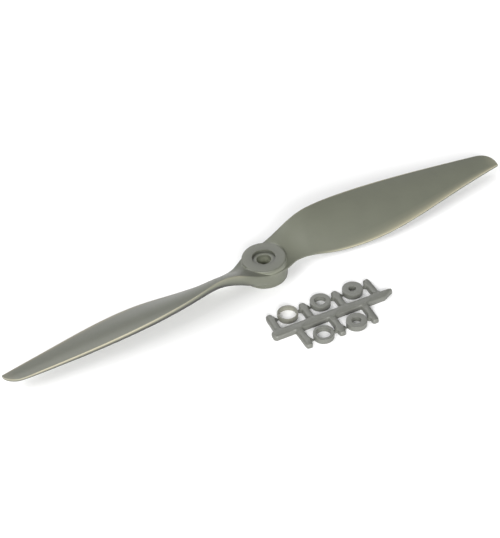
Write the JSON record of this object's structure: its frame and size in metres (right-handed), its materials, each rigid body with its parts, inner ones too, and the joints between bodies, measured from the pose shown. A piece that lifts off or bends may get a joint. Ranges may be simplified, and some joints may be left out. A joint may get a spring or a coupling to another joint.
{
  "type": "model aircraft propeller",
  "caption": "Fixed-pitch model aircraft propeller with twisted blades on a bored hub, and a moulded tree of shaft adapter rings lying beside it.",
  "frame": {"origin": "centre of the shaft bore on the hub's rear face", "axes": "+Z along the shaft towards the front of the propeller; +X along one blade; +Y towards that blade's leading edge"},
  "size_m": [0.254, 0.0681, 0.0177],
  "materials": {
    "propeller_nylon": "satin glass-filled nylon, grey-olive",
    "ring_tree_nylon": "satin moulded nylon, grey",
    "ring_nylon": "satin moulded nylon, grey"
  },
  "bodies": {
    "propeller": {"propeller": "propeller_nylon"},
    "ring_tree": {"ring_tree": "ring_tree_nylon"},
    "adapter_ring_7_9mm": {"adapter_ring_7_9mm": "ring_nylon"},
    "adapter_ring_5_0mm": {"adapter_ring_5_0mm": "ring_nylon"},
    "adapter_ring_3_2mm": {"adapter_ring_3_2mm": "ring_nylon"},
    "adapter_ring_6_4mm": {"adapter_ring_6_4mm": "ring_nylon"},
    "adapter_ring_4_0mm": {"adapter_ring_4_0mm": "ring_nylon"}
  },
  "joints": [
    {"name": "ring_tree_lift", "type": "slide", "parent": "propeller", "child": "ring_tree", "axis": [0, 0, 1], "range_m": [0, 0.05]},
    {"name": "adapter_ring_7_9mm_lift", "type": "slide", "parent": "ring_tree", "child": "adapter_ring_7_9mm", "axis": [0, 0, 1], "range_m": [0, 0.03]},
    {"name": "adapter_ring_5_0mm_lift", "type": "slide", "parent": "ring_tree", "child": "adapter_ring_5_0mm", "axis": [0, 0, 1], "range_m": [0, 0.03]},
    {"name": "adapter_ring_3_2mm_lift", "type": "slide", "parent": "ring_tree", "child": "adapter_ring_3_2mm", "axis": [0, 0, 1], "range_m": [0, 0.03]},
    {"name": "adapter_ring_6_4mm_lift", "type": "slide", "parent": "ring_tree", "child": "adapter_ring_6_4mm", "axis": [0, 0, 1], "range_m": [0, 0.03]},
    {"name": "adapter_ring_4_0mm_lift", "type": "slide", "parent": "ring_tree", "child": "adapter_ring_4_0mm", "axis": [0, 0, 1], "range_m": [0, 0.03]}
  ]
}
